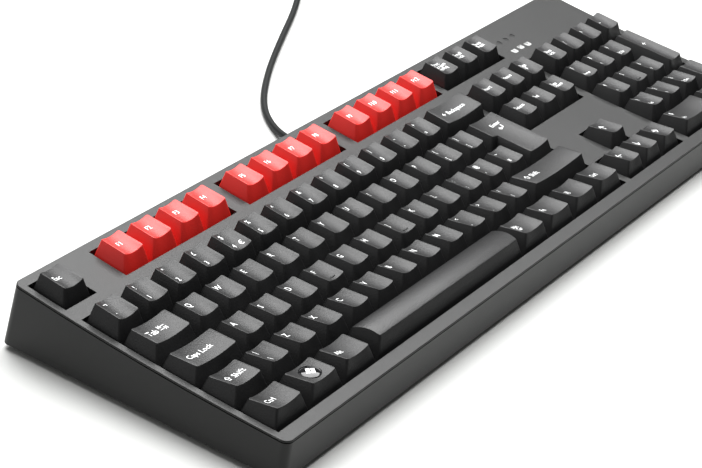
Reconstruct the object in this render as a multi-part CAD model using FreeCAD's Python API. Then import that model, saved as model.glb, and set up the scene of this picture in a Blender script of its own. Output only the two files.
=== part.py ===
"""Full-size mechanical keyboard: ISO layout, 105 keys, wired, with fold-out rear feet.

World frame, millimetres: +X to the right, +Y to the rear, +Z up, with the origin at the middle of the
footprint on the desk.  The keys are laid out in a deck frame: x from the left edge of the main block,
y from the rear edge of the number row, z along the key travel.  deck_to_world tilts that frame.
"""
import FreeCAD
import Part
import math
import os
from FreeCAD import Vector

os.makedirs("parts", exist_ok=True)

# ---- key grid
pitch = 19.05                 # distance between neighbouring keys
row_gap = 9.1                 # from the number row's rear edge to the function row's front edge
nav_column = 15.25            # left edge of the navigation block, in key pitches
pad_column = 18.5             # left edge of the numeric pad, in key pitches
pad_offset = 1.4              # how much further right the numeric pad stands
key_travel = 4.0

# ---- case
deck_tilt = 3.88              # slope of the key plane, degrees
deck_radius = 1270.0          # the deck is a shallow hollow curve from front to rear
deck_low_y = -55.5            # where that curve is lowest
deck_low_z = -1.82
left_margin = 2.85            # deck from the outermost keys to the case edge
right_margin = 5.0
front_margin = 6.85
rear_margin = 5.45
corner_radius = 3.5
side_flare = 2.0              # how far the walls lean out at the desk
front_flare = 1.0
rear_flare = 3.1
front_height = 16.75          # front edge of the deck above the lower edge of the walls
wall_gap = 2.6                # lower edge of the walls above the desk
pan_gap = 1.4                 # underside of the floor pan above the desk
pan_inset = 6.0
floor_thickness = 2.0
wall_thickness = 1.8
edge_lip = 0.75               # height of the upper shell's visible edge
edge_round = 0.5
seam_gap = 0.5                # shadow line between the two shells
shell_clearance = 0.25
deck_thickness = 2.4
tongue_thickness = 1.2
rim_thickness = 1.2           # skirt that hangs round each key opening
rim_depth = 6.5
opening_side = 0.05           # key opening beyond the key grid, sideways
opening_end = 0.6             # and front and rear

# ---- switch plate, circuit board and switches
plate_top = -9.6
plate_thickness = 1.5
plate_border = 0.8
plate_cutout = 14.0
board_drop = 5.0              # plate top to board top
board_thickness = 1.6
board_border = 1.0            # board inside the outermost keys
housing_body = 13.8
housing_flange = 15.6
housing_flange_height = 1.0
housing_top_width = 10.8
housing_height = 6.0          # above the plate
housing_floor = 1.0
slider_x = 7.0
slider_y = 6.2
slider_clearance = 0.3
slider_rise = 1.4             # slider above its housing at rest
slider_length = 6.8
post_diameter = 5.4           # post that carries the cap
spring_diameter = 4.2
spring_wire = 0.4
spring_clearance = 0.3

# ---- key caps
cap_gap = 0.95                # between neighbouring caps at the skirt
cap_bottom = -4.0             # lower edge of the skirt
cap_side_inset = 3.69         # top edge inside the key cell, left and right
cap_wall = 1.3
cap_roof = 1.2
cap_dish = 1.25               # depth of the finger hollow
space_crown = 1.6             # the space bar is domed
# top face of each row: front edge distance and height, rear edge distance and height
cap_rows = {
    "number": (15.0, 6.2, 1.7, 7.0),
    "upper": (14.65, 4.6, 1.4, 4.4),
    "home": (15.15, 4.25, 1.7, 3.25),
    "lower": (14.9, 5.4, 1.85, 3.05),
}

# ---- stabilisers
stab_spread = 11.94           # from the switch to each stabiliser on a two-unit key
stab_spread_space = 50.0
stab_width = 6.6
stab_length = 12.0
stab_top = -4.0
stab_post_x = 3.4
stab_post_y = 4.8
stab_post_end = -7.0
stab_clearance = 0.4
stab_wire = 1.2
stab_wire_offset = 9.5

# ---- screws, feet, lenses
boss_diameter = 6.4
boss_clearance = 0.5
screw_diameter = 2.9
screw_hole = 3.3
screw_head = 5.6
screw_head_height = 2.0
screw_pocket = 6.4
rubber_x = 165.0              # rubber feet, from the middle
rubber_margin = 13.0          # and from the front and rear edges at the desk
rubber_length = 30.0
rubber_width = 8.0
rubber_recess = 0.6
rubber_clearance = 0.1
foot_x = 128.0                # tilt feet, from the middle
foot_width = 26.0
foot_length = 27.0
foot_thickness = 3.6
foot_barrel = 5.0
foot_hinge_y = 59.0
foot_hinge_z = 4.3
foot_pin = 2.4
foot_pin_length = 2.0
foot_pin_clearance = 0.08
foot_clearance = 0.5
lens_x = 358.9                # first indicator window, deck frame
lens_y = 19.0
lens_pitch = 6.65
lens_diameter = 3.0

# ---- cable
cable_diameter = 3.5
cable_exit_x = 9.5
cable_exit_z = 7.0
grommet_root = 3.6            # radius at the case
grommet_tip = 2.6
grommet_length = 10.0
grommet_groove = 2.6
coil_middle = (218.5, 190.5)
coil_radius = 19.25           # at the middle of its turns
coil_width = 21.0             # five turns side by side and one more
coil_height = 7.0             # two layers
tie_width = 8.0
tie_thickness = 0.8
tie_clearance = 0.5
plug_grip = (30.0, 15.0, 8.0)
plug_shell = (12.0, 12.0, 4.5)

# ---- values worked out from those above
unit = pitch
tilt = math.radians(deck_tilt)
function_y = row_gap + pitch
row_y = {"function": function_y, "number": 0.0, "upper": -pitch, "home": -2 * pitch,
         "lower": -3 * pitch, "bottom": -4 * pitch}
row_profile = {"function": "number", "number": "number", "upper": "upper", "home": "home",
               "lower": "lower", "bottom": "lower"}
nav_x = nav_column * pitch
pad_x = pad_column * pitch + pad_offset
grid_right = pad_x + 4 * pitch
grid_front = -5 * pitch
deck_left = -left_margin
deck_right = grid_right + right_margin
deck_front = grid_front - front_margin
deck_rear = function_y + rear_margin
inner_inset = wall_thickness + shell_clearance
seam_low = edge_lip + seam_gap
board_top = plate_top - board_drop
board_low = board_top - board_thickness
housing_top = plate_top + housing_height
spring_floor = board_top + housing_floor
floor_top = pan_gap + floor_thickness


def deck_z(y, offset=0.0):
    """Height of the deck's hollow curve in the deck frame."""
    centre_z = deck_low_z + deck_radius
    return centre_z - math.sqrt(deck_radius ** 2 - (y - deck_low_y) ** 2) + offset


front_y_world = deck_front * math.cos(tilt) - deck_z(deck_front) * math.sin(tilt)
rear_y_world = deck_rear * math.cos(tilt) - deck_z(deck_rear) * math.sin(tilt)
front_z_world = deck_front * math.sin(tilt) + deck_z(deck_front) * math.cos(tilt)
origin_x = -(deck_left + deck_right) / 2
origin_y = -((front_y_world - front_flare) + (rear_y_world + rear_flare)) / 2
origin_z = wall_gap + front_height - front_z_world
deck_to_world = FreeCAD.Placement(
    Vector(origin_x, origin_y, origin_z), FreeCAD.Rotation(Vector(1, 0, 0), deck_tilt))
half_width = (deck_right - deck_left) / 2 + side_flare
half_depth = (rear_y_world + rear_flare - front_y_world + front_flare) / 2


def to_world(shape):
    moved = shape.copy()
    moved.Placement = deck_to_world.multiply(moved.Placement)
    return moved


def box(x0, x1, y0, y1, z0, z1):
    return Part.makeBox(x1 - x0, y1 - y0, z1 - z0, Vector(x0, y0, z0))


def cylinder(x, y, z0, z1, diameter):
    return Part.makeCylinder(diameter / 2, z1 - z0, Vector(x, y, z0), Vector(0, 0, 1))


def polygon_face(points, z):
    wire = Part.makePolygon([Vector(x, y, z) for x, y in points + points[:1]])
    return Part.Face(wire)


def prism(points, z0, z1):
    return polygon_face(points, z0).extrude(Vector(0, 0, z1 - z0))


def rounded_outline(x0, x1, y0, y1, radius, z):
    """Closed wire of four lines and four arcs, counter-clockwise from the front left."""
    r = max(radius, 0.5)
    k = r * (1 - math.sqrt(0.5))
    corners = [((x0, y0), (1, 0)), ((x1, y0), (0, 1)), ((x1, y1), (-1, 0)), ((x0, y1), (0, -1))]
    edges = []
    starts = [Vector(x + r * dx, y + r * dy, z) for (x, y), (dx, dy) in corners]
    ends = [Vector(x1 - r, y0, z), Vector(x1, y1 - r, z), Vector(x0 + r, y1, z), Vector(x0, y0 + r, z)]
    middles = [Vector(x1 - k, y0 + k, z), Vector(x1 - k, y1 - k, z), Vector(x0 + k, y1 - k, z),
               Vector(x0 + k, y0 + k, z)]
    for i in range(4):
        edges.append(Part.LineSegment(starts[i], ends[i]).toShape())
        edges.append(Part.Arc(ends[i], middles[i], starts[(i + 1) % 4]).toShape())
    return Part.Wire(edges)


def case_block(inset):
    """The flared outer form of the case, shrunk by inset, from the wall's lower edge to above the deck."""
    low = rounded_outline(-half_width + inset, half_width - inset, -half_depth + inset,
                          half_depth - inset, max(corner_radius - inset, 0.8), wall_gap)
    high = rounded_outline(deck_left + inset, deck_right - inset, deck_front + inset,
                           deck_rear - inset, max(corner_radius - inset, 0.8), 3.0)
    high.Placement = deck_to_world
    return Part.makeLoft([low, high], True, True)


def below_deck(offset):
    """Everything under the deck's curve moved by offset, as a solid in the world frame."""
    y0, y1, bottom = deck_front - 30, deck_rear + 30, -60.0
    middle = (y0 + y1) / 2
    x0 = deck_left - 30
    arc = Part.Arc(Vector(x0, y0, deck_z(y0, offset)), Vector(x0, middle, deck_z(middle, offset)),
                   Vector(x0, y1, deck_z(y1, offset))).toShape()
    rest = Part.makePolygon([Vector(x0, y1, deck_z(y1, offset)), Vector(x0, y1, bottom),
                             Vector(x0, y0, bottom), Vector(x0, y0, deck_z(y0, offset))])
    face = Part.Face(Part.Wire([arc] + rest.Edges))
    return to_world(face.extrude(Vector(deck_right - deck_left + 60, 0, 0)))


def slab(block, upper, lower):
    """The layer of a block between two offsets of the deck's curve."""
    return block.common(below_deck(upper)).cut(below_deck(lower))


# ---- the keys: name, node, column in pitches from the left, row, width in pitches, shape
def key(name, node, column, row, width=1.0, shape="plain", offset=0.0):
    return {"name": name, "node": node, "x": column * pitch + offset, "row": row, "width": width,
            "shape": shape}


def row_of_keys(names, node, first, row, offset=0.0):
    nodes = node if isinstance(node, list) else [node] * len(names)
    return [key(n, nodes[i], first + i, row, offset=offset) for i, n in enumerate(names)]


def letters(text):
    return ["key_" + c for c in text]


keys = [key("escape", "key_escape", 0, "function")]
for bank, first in ((0, 2.0), (1, 6.5), (2, 11.0)):
    keys += row_of_keys(["f%d" % (4 * bank + i + 1) for i in range(4)], "function_keys", first, "function")
keys += row_of_keys(["print_screen", "scroll_lock", "pause"], "navigation_keys", nav_column, "function")

keys += row_of_keys(["grave"] + list("1234567890") + ["minus", "equals"], "number_row_keys", 0, "number")
keys.append(key("backspace", "key_backspace", 13, "number", 2.0, "wide"))
keys += row_of_keys(["insert", "home", "page_up"], "navigation_keys", nav_column, "number")

keys.append(key("tab", "key_tab", 0, "upper", 1.5))
keys += row_of_keys(list("qwertyuiop"), letters("qwertyuiop"), 1.5, "upper")
keys += row_of_keys(["left_bracket", "right_bracket"], "punctuation_keys", 11.5, "upper")
keys.append(key("enter", "key_enter", 13.5, "upper", 1.5, "enter"))
keys += row_of_keys(["delete", "end", "page_down"], "navigation_keys", nav_column, "upper")

keys.append(key("caps_lock", "key_caps_lock", 0, "home", 1.75))
keys += row_of_keys(list("asdfghjkl"), letters("asdfghjkl"), 1.75, "home")
keys += row_of_keys(["semicolon", "apostrophe", "hash"], "punctuation_keys", 10.75, "home")

keys.append(key("left_shift", "key_left_shift", 0, "lower", 1.25))
keys.append(key("backslash", "punctuation_keys", 1.25, "lower"))
keys += row_of_keys(list("zxcvbnm"), letters("zxcvbnm"), 2.25, "lower")
keys += row_of_keys(["comma", "full_stop", "slash"], "punctuation_keys", 9.25, "lower")
keys.append(key("right_shift", "key_right_shift", 12.25, "lower", 2.75, "wide"))
keys.append(key("up", "navigation_keys", nav_column + 1, "lower"))

for i, name in enumerate(["left_ctrl", "left_system", "left_alt"]):
    keys.append(key(name, "modifier_keys", 1.25 * i, "bottom", 1.25))
keys.append(key("space", "key_space", 3.75, "bottom", 6.25, "space"))
for i, name in enumerate(["right_alt", "right_system", "menu", "right_ctrl"]):
    keys.append(key(name, "modifier_keys", 10.0 + 1.25 * i, "bottom", 1.25))
keys += row_of_keys(["left", "down", "right"], "navigation_keys", nav_column, "bottom")

pad_rows = {"number": ["num_lock", "divide", "multiply", "subtract"], "upper": ["pad_7", "pad_8", "pad_9"],
            "home": ["pad_4", "pad_5", "pad_6"], "lower": ["pad_1", "pad_2", "pad_3"]}
for row, names in pad_rows.items():
    keys += row_of_keys(names, "numpad_keys", pad_column, row, pad_offset)
keys.append(key("pad_add", "numpad_keys", pad_column + 3, "upper", 1.0, "tall", pad_offset))
keys.append(key("pad_enter", "numpad_keys", pad_column + 3, "lower", 1.0, "tall", pad_offset))
keys.append(key("pad_0", "numpad_keys", pad_column, "bottom", 2.0, "wide", pad_offset))
keys.append(key("pad_point", "numpad_keys", pad_column + 2, "bottom", 1.0, "plain", pad_offset))


def switch_centre(k):
    """Middle of the switch under a key, deck frame."""
    y = row_y[k["row"]] - pitch / 2
    if k["shape"] in ("tall", "enter"):
        y -= pitch / 2
    x = k["x"] + k["width"] * pitch / 2
    if k["shape"] == "enter":
        x += pitch / 8
    return x, y


def frustum(low, high, z0, z1):
    """Closed solid between two polygons with the same number of corners."""
    n = len(low)
    a = [Vector(x, y, z0) for x, y in low]
    b = [Vector(x, y, z1) for x, y in high]
    faces = [Part.Face(Part.makePolygon(a[::-1] + [a[-1]])), Part.Face(Part.makePolygon(b + [b[0]]))]
    for i in range(n):
        j = (i + 1) % n
        faces.append(Part.Face(Part.makePolygon([a[i], a[j], b[j], b[i], a[i]])))
    return Part.makeSolid(Part.makeShell(faces))


def inset_polygon(shape, x0, width, depth, side, front, rear):
    """A cap's outline at one height: a rectangle, or the L of the tall Enter key."""
    left, right = x0 + side, x0 + width - side
    if shape != "enter":
        return [(left, -depth + front), (right, -depth + front), (right, -rear), (left, -rear)]
    step_x, step_y = x0 + pitch / 4, -pitch
    return [(step_x + side, -depth + front), (right, -depth + front), (right, -rear), (left, -rear),
            (left, step_y + side), (step_x + side, step_y + side)]


def key_cap(k):
    """Hollow cap at rest, deck frame, with its rear cell edge on the row's line."""
    width = k["width"] * pitch
    tall = k["shape"] in ("tall", "enter")
    depth = 2 * pitch if tall else pitch
    rear_row = cap_rows[row_profile[k["row"]]]
    front_name = {"upper": "home", "lower": "bottom"}[k["row"]] if tall else k["row"]
    front_row = cap_rows[row_profile[front_name]]
    front_in, front_z = pitch - front_row[0], front_row[1]
    rear_in, rear_z = rear_row[2], rear_row[3]
    skirt = cap_gap / 2
    mean_rise = (front_z + rear_z) / 2 - cap_bottom
    side_slope = (cap_side_inset - skirt) / mean_rise
    front_slope = (front_in - skirt) / (front_z - cap_bottom)
    rear_slope = (rear_in - skirt) / (rear_z - cap_bottom)
    tall_z = max(front_z, rear_z) + 3.0

    def outline(z, wall):
        rise = z - cap_bottom
        return inset_polygon(k["shape"], k["x"], width, depth, skirt + wall + side_slope * rise,
                             skirt + wall + front_slope * rise, skirt + wall + rear_slope * rise)

    outer = frustum(outline(cap_bottom, 0), outline(tall_z, 0), cap_bottom, tall_z)
    front_y, rear_y = -depth + front_in, -rear_in
    middle_x = k["x"] + width / 2
    top_dir = Vector(0, rear_y - front_y, rear_z - front_z)
    top_dir.normalize()
    up = Vector(0, -top_dir.z, top_dir.y)
    if k["shape"] == "space":
        crown = space_crown
        half = (rear_y - front_y) / 2
        radius = (half ** 2 + crown ** 2) / (2 * crown)
        centre = Vector(k["x"] - 1, (front_y + rear_y) / 2, (front_z + rear_z) / 2) - up * (radius - crown)
        outer = outer.common(Part.makeCylinder(radius, width + 2, centre, Vector(1, 0, 0)))
    else:
        half = width / 2 - cap_side_inset
        radius = (half ** 2 + cap_dish ** 2) / (2 * cap_dish)
        start = Vector(middle_x, front_y, front_z) - top_dir * 20 + up * (radius - cap_dish)
        dish = Part.makeCylinder(radius, rear_y - front_y + 40, start, top_dir)
        above = frustum(outline(cap_bottom + 7.5, -2), outline(tall_z + 1, -2), cap_bottom + 7.5, tall_z + 1)
        slope = (rear_z - front_z) / (rear_y - front_y)
        ends = [(-depth - 5, front_z + slope * (-depth - 5 - front_y)), (5, front_z + slope * (5 - front_y))]
        wedge = Part.Face(Part.makePolygon([
            Vector(k["x"] - 5, ends[0][0], ends[0][1]), Vector(k["x"] - 5, ends[1][0], ends[1][1]),
            Vector(k["x"] - 5, ends[1][0], tall_z + 5), Vector(k["x"] - 5, ends[0][0], tall_z + 5),
            Vector(k["x"] - 5, ends[0][0], ends[0][1])])).extrude(Vector(width + 10, 0, 0))
        outer = outer.cut(wedge).cut(dish.common(above))
    ceiling = min(front_z, rear_z) - cap_dish - cap_roof
    inner = frustum(outline(cap_bottom - 1, cap_wall), outline(ceiling, cap_wall), cap_bottom - 1, ceiling)
    cap = outer.cut(inner)
    cap.translate(Vector(0, row_y[k["row"]], 0))
    return cap, ceiling


def key_slider(k, ceiling):
    """Switch slider and the post that carries the cap, at rest."""
    x, y = switch_centre(k)
    top = housing_top + slider_rise
    low = top - slider_length
    body = box(x - slider_x / 2, x + slider_x / 2, y - slider_y / 2, y + slider_y / 2, low, top)
    body = body.fuse(cylinder(x, y, top - 0.5, ceiling, post_diameter)).removeSplitter()
    bore = spring_diameter + 2 * spring_clearance
    roof = spring_floor + spring_pressed() + key_travel + spring_clearance
    return body.cut(cylinder(x, y, low - 1, roof, bore))


def spring_pressed():
    """Length that is left for the spring with the key fully down."""
    return 5.6


def stabilised(k):
    """Stabiliser places of a wide or tall key: list of (x, y), deck frame, and the wire's side."""
    x, y = switch_centre(k)
    if k["shape"] == "space":
        return [(x - stab_spread_space, y), (x + stab_spread_space, y)]
    if k["shape"] == "wide":
        return [(x - stab_spread, y), (x + stab_spread, y)]
    if k["shape"] in ("tall", "enter"):
        return [(x, y - stab_spread), (x, y + stab_spread)]
    return []


def stab_boxes(k, size_x, size_y, z0, z1):
    """A box at each stabiliser of a key, turned with the key."""
    boxes = []
    turned = k["shape"] in ("tall", "enter")
    sx, sy = (size_y, size_x) if turned else (size_x, size_y)
    for x, y in stabilised(k):
        boxes.append(box(x - sx / 2, x + sx / 2, y - sy / 2, y + sy / 2, z0, z1))
    return boxes


def bent_tube(points, diameter):
    """A round rod or tube: straight runs joined by tangent arcs as large as the two runs allow."""
    points = [Vector(*p) for p in points]
    edges = []
    start = points[0]
    radii = []
    for before, corner, after in zip(points, points[1:], points[2:]):
        into, out = corner - before, after - corner
        turn = into.getAngle(out)
        cut_back = 0.45 * min(into.Length, out.Length)
        radius = cut_back / math.tan(turn / 2)
        u, w = Vector(into), Vector(out)
        u.normalize()
        w.normalize()
        first, last = corner - u * cut_back, corner + w * cut_back
        bisector = w - u
        bisector.normalize()
        apex = corner + bisector * (radius / math.cos(turn / 2) - radius)
        edges.append(Part.LineSegment(start, first).toShape())
        edges.append(Part.Arc(first, apex, last).toShape())
        start = last
        radii.append(round(radius, 1))
    edges.append(Part.LineSegment(start, points[-1]).toShape())
    path = Part.Wire(edges)
    section = Part.Wire([Part.makeCircle(diameter / 2, points[0], points[1] - points[0])])
    return path.makePipeShell([section], True, False), path.Length, radii


# ---- key nodes
nodes = {}
for k in keys:
    cap, ceiling = key_cap(k)
    pieces = [cap, key_slider(k, ceiling)]
    pieces += stab_boxes(k, stab_post_x, stab_post_y, stab_post_end, ceiling)
    nodes.setdefault(k["node"], []).extend(pieces)
stabilised_keys = [k for k in keys if stabilised(k)]

# ---- upper shell
opening_rows = {"function": (function_y - pitch, function_y), "main": (grid_front, 0.0),
                "nav": (-2 * pitch, 0.0), "arrow": (grid_front, -4 * pitch)}
opening_spans = [(0, 1, "function"), (2, 6, "function"), (6.5, 10.5, "function"), (11, 15, "function"),
                 (nav_column, nav_column + 3, "function"), (0, 15, "main"),
                 (nav_column, nav_column + 3, "nav")]


def opening_polygons(grow):
    side, end = opening_side + grow, opening_end + grow
    polygons = []
    for first, last, name in opening_spans:
        y0, y1 = opening_rows[name]
        polygons.append([(first * pitch - side, y0 - end), (last * pitch + side, y0 - end),
                         (last * pitch + side, y1 + end), (first * pitch - side, y1 + end)])
    polygons.append([(pad_x - side, grid_front - end), (grid_right + side, grid_front - end),
                     (grid_right + side, end), (pad_x - side, end)])
    y0, y1, y2 = grid_front - end, -4 * pitch + end, -3 * pitch + end
    a, b, c, d = nav_x - side, nav_x + pitch - side, nav_x + 2 * pitch + side, nav_x + 3 * pitch + side
    polygons.append([(a, y0), (d, y0), (d, y1), (c, y1), (c, y2), (b, y2), (b, y1), (a, y1)])
    return polygons


boss_y = function_y - pitch / 2
boss_places = [(1.5 * pitch, boss_y), (6.25 * pitch, boss_y), (10.75 * pitch, boss_y),
               (pad_x + 3 * pitch, boss_y), (nav_x + pitch / 2, -3.5 * pitch),
               (nav_x + 2.5 * pitch, -3.5 * pitch)]
boss_end = board_low - 0.2

block = case_block(0)
shell = block.common(below_deck(0))
rim_edges = []
for edge in shell.Edges:
    samples = [edge.valueAt(edge.FirstParameter + t * (edge.LastParameter - edge.FirstParameter))
               for t in (0.1, 0.5, 0.9)]
    local = [deck_to_world.inverse().multVec(p) for p in samples]
    if all(abs(p.z - deck_z(p.y)) < 0.01 for p in local):
        rim_edges.append(edge)
shell = shell.makeFillet(edge_round, rim_edges)
skin = shell.cut(below_deck(-edge_lip))
core = case_block(inner_inset)
tongue = core.cut(case_block(inner_inset + tongue_thickness))
top_case = skin.fuse(slab(core, -edge_lip / 2, -deck_thickness))
top_case = top_case.fuse(slab(tongue, -edge_lip / 2, -rim_depth))
rims = [to_world(prism(points, -rim_depth, deck_low_z - edge_lip / 2))
        for points in opening_polygons(rim_thickness)]
for rim in rims:
    top_case = top_case.fuse(rim.common(core))
for x, y in boss_places:
    top_case = top_case.fuse(to_world(cylinder(x, y, boss_end, deck_z(y, -edge_lip), boss_diameter)))
for points in opening_polygons(0):
    top_case = top_case.cut(to_world(prism(points, -20.0, 20.0)))
for x, y in boss_places:
    top_case = top_case.cut(to_world(cylinder(x, y, boss_end - 1, boss_end + 9, screw_hole - 0.3)))
for i in range(3):
    x = lens_x + i * lens_pitch
    top_case = top_case.cut(to_world(cylinder(x, lens_y, -10, 10, lens_diameter + 0.1)))
nodes["top_case"] = [top_case.removeSplitter()]

# ---- lower shell
post_top = boss_end - 0.05
bottom_case = block.common(below_deck(-seam_low))
pan = Part.Face(rounded_outline(-half_width + pan_inset, half_width - pan_inset, -half_depth + pan_inset,
                                half_depth - pan_inset, corner_radius, pan_gap))
bottom_case = bottom_case.fuse(pan.extrude(Vector(0, 0, floor_top - pan_gap)))
cavity = case_block(wall_thickness).cut(box(-400, 400, -200, 200, -10, floor_top))
bottom_case = bottom_case.cut(cavity)
supports = []
ledge_top = plate_top - plate_thickness - 0.05
for i in range(7):
    x = grid_right * (i + 0.5) / 7
    supports.append(box(x - 1.5, x + 1.5, deck_front - 2, grid_front + 0.2, -60, ledge_top))
    supports.append(box(x - 1.5, x + 1.5, function_y + 0.2, deck_rear + 2, -60, ledge_top))
for x, y in boss_places:
    supports.append(cylinder(x, y, -60, post_top, boss_diameter + 2.4))
inside = case_block(wall_thickness / 2).cut(box(-400, 400, -200, 200, -10, pan_gap + floor_thickness / 2))
for support in supports:
    bottom_case = bottom_case.fuse(to_world(support).common(inside))


def foot_bay(side):
    """Pocket for a folded tilt foot: outer walls and the space inside them."""
    x = side * foot_x
    half = foot_width / 2 + foot_clearance
    y0, y1 = foot_hinge_y - foot_length - 4.0, foot_hinge_y + foot_barrel / 2 + foot_clearance + 0.6
    top = foot_hinge_z + foot_barrel / 2 + foot_clearance
    outer = box(x - half - 3.0, x + half + 3.0, y0 - 1.6, y1 + 1.6, pan_gap + 0.5, top + 1.6)
    space = box(x - half, x + half, y0, y1, -5, top)
    axle = Part.makeCylinder(foot_pin / 2 + foot_pin_clearance, foot_width + 2 * (foot_clearance + 2.4),
                             Vector(x - half - 2.4, foot_hinge_y, foot_hinge_z), Vector(1, 0, 0))
    return outer, space.fuse(axle)


for side in (-1, 1):
    outer, space = foot_bay(side)
    bottom_case = bottom_case.fuse(outer).cut(space)
for x, y in boss_places:
    floor_point = deck_to_world.inverse().multVec(Vector(x + origin_x, y + origin_y, pan_gap))
    pocket_top = floor_point.z + 1.2 + screw_head_height
    bottom_case = bottom_case.cut(to_world(cylinder(x, y, floor_point.z - 5, pocket_top, screw_pocket)))
    bottom_case = bottom_case.cut(to_world(cylinder(x, y, floor_point.z - 5, 0, screw_hole)))
rubber_places = [(side * rubber_x, y) for side in (-1, 1)
                 for y in (rubber_margin - half_depth, half_depth - rubber_margin)]
for x, y in rubber_places:
    bottom_case = bottom_case.cut(box(x - rubber_length / 2, x + rubber_length / 2, y - rubber_width / 2,
                                      y + rubber_width / 2, -1, pan_gap + rubber_recess))
cable_y = half_depth
bottom_case = bottom_case.cut(Part.makeCylinder(
    grommet_groove + 0.05, 20, Vector(cable_exit_x, cable_y - 15, cable_exit_z), Vector(0, 1, 0)))
nodes["bottom_case"] = [bottom_case.removeSplitter()]

# ---- switch plate and circuit board
plate = box(-plate_border, grid_right + plate_border, grid_front - plate_border,
            function_y + plate_border, plate_top - plate_thickness, plate_top)
board = box(board_border, grid_right - board_border, grid_front + board_border,
            function_y - board_border, board_low, board_top)
cutouts = []
for k in keys:
    x, y = switch_centre(k)
    half = plate_cutout / 2
    cutouts.append(box(x - half, x + half, y - half, y + half, plate_top - 5, plate_top + 5))
    cutouts += stab_boxes(k, stab_width + 0.2, stab_length + 0.2, plate_top - 5, plate_top + 5)
for x, y in boss_places:
    hole = cylinder(x, y, plate_top - 5, plate_top + 5, boss_diameter + 2 * boss_clearance)
    cutouts.append(hole)
    board = board.cut(cylinder(x, y, board_low - 5, board_top + 5, boss_diameter + 2 * boss_clearance))
nodes["switch_plate"] = [to_world(plate.cut(Part.makeCompound(cutouts)))]
nodes["circuit_board"] = [to_world(board)]

# ---- parts on the board
components = []
for k in keys:
    x, y = switch_centre(k)
    components.append(box(x + 5.2, x + 7.9, y + 4.2, y + 5.8, board_low - 1.0, board_low))
chip_x = pad_x + 1.6 * pitch
components.append(box(chip_x - 6, chip_x + 6, boss_y - 6, boss_y + 6, board_low - 1.5, board_low))
components.append(box(chip_x + 9, chip_x + 14, boss_y - 2, boss_y + 2, board_low - 1.3, board_low))
header_x = cable_exit_x - origin_x
components.append(box(header_x - 6, header_x + 6, boss_y - 5, boss_y + 2, board_low - 5.5, board_low))
nodes["board_components"] = [to_world(c) for c in components]

# ---- switch housings and springs
half = housing_body / 2
flange = housing_flange / 2
crown = housing_top_width / 2
square = lambda h: [(-h, -h), (h, -h), (h, h), (-h, h)]
housing = box(-half, half, -half, half, board_top, plate_top)
housing = housing.fuse(box(-flange, flange, -flange, flange, plate_top, plate_top + housing_flange_height))
housing = housing.fuse(frustum(square(half), square(crown), plate_top + housing_flange_height, housing_top))
well_x, well_y = slider_x / 2 + slider_clearance, slider_y / 2 + slider_clearance
housing = housing.cut(box(-well_x, well_x, -well_y, well_y, spring_floor, housing_top + 1))
spring = cylinder(0, 0, spring_floor, spring_floor + spring_pressed(), spring_diameter)
spring = spring.cut(cylinder(0, 0, spring_floor - 1, housing_top, spring_diameter - 2 * spring_wire))
for node, pattern in (("switch_housings", housing), ("switch_springs", spring)):
    nodes[node] = []
    for k in keys:
        x, y = switch_centre(k)
        nodes[node].append(to_world(pattern.translated(Vector(x, y, 0))))

# ---- stabilisers
nodes["stabiliser_housings"] = []
nodes["stabiliser_wires"] = []
for k in stabilised_keys:
    shells = stab_boxes(k, stab_width, stab_length, board_top, stab_top)
    wells = stab_boxes(k, stab_post_x + 2 * stab_clearance, stab_post_y + 2 * stab_clearance,
                       board_top + 1.0, stab_top + 1)
    for outer, inner in zip(shells, wells):
        nodes["stabiliser_housings"].append(to_world(outer.cut(inner)))
    (xa, ya), (xb, yb) = stabilised(k)
    z = plate_top + stab_wire / 2 + 0.05
    reach = stab_wire_offset - stab_length / 2 - 0.05
    turned = k["shape"] in ("tall", "enter")
    along, arm = (Vector(0, 1, 0), Vector(1, 0, 0)) if turned else (Vector(1, 0, 0), Vector(0, 1, 0))
    ends = [Vector(xa, ya, z) - arm * stab_wire_offset, Vector(xb, yb, z) - arm * stab_wire_offset]
    wire = bent_tube([ends[0] + arm * reach, ends[0], ends[1], ends[1] + arm * reach], stab_wire)[0]
    nodes["stabiliser_wires"].append(to_world(wire))

# ---- indicator windows
nodes["indicator_lenses"] = []
for i in range(3):
    x = lens_x + i * lens_pitch
    nodes["indicator_lenses"].append(
        to_world(cylinder(x, lens_y, -deck_thickness - 1.0, deck_z(lens_y, -0.15), lens_diameter)))

# ---- case screws
nodes["case_screws"] = []
for x, y in boss_places:
    floor_point = deck_to_world.inverse().multVec(Vector(x + origin_x, y + origin_y, pan_gap))
    seat = floor_point.z + 1.2 + screw_head_height
    screw = cylinder(x, y, seat - screw_head_height, seat, screw_head)
    screw = screw.fuse(cylinder(x, y, seat - 0.1, boss_end + 8, screw_diameter))
    socket = box(x - 1.6, x + 1.6, y - 0.4, y + 0.4, seat - screw_head_height - 1, seat - screw_head_height + 1)
    cross = box(x - 0.4, x + 0.4, y - 1.6, y + 1.6, seat - screw_head_height - 1, seat - screw_head_height + 1)
    nodes["case_screws"].append(to_world(screw.cut(socket.fuse(cross))))

# ---- rubber feet
nodes["rubber_feet"] = []
for x, y in rubber_places:
    a, b = rubber_length / 2 - rubber_clearance, rubber_width / 2 - rubber_clearance
    pad = box(x - a, x + a, y - b, y + b, 0, pan_gap + rubber_recess)
    lower = [e for e in pad.Edges if e.BoundBox.ZMax < 0.01]
    nodes["rubber_feet"].append(pad.makeChamfer(0.5, lower))

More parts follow.
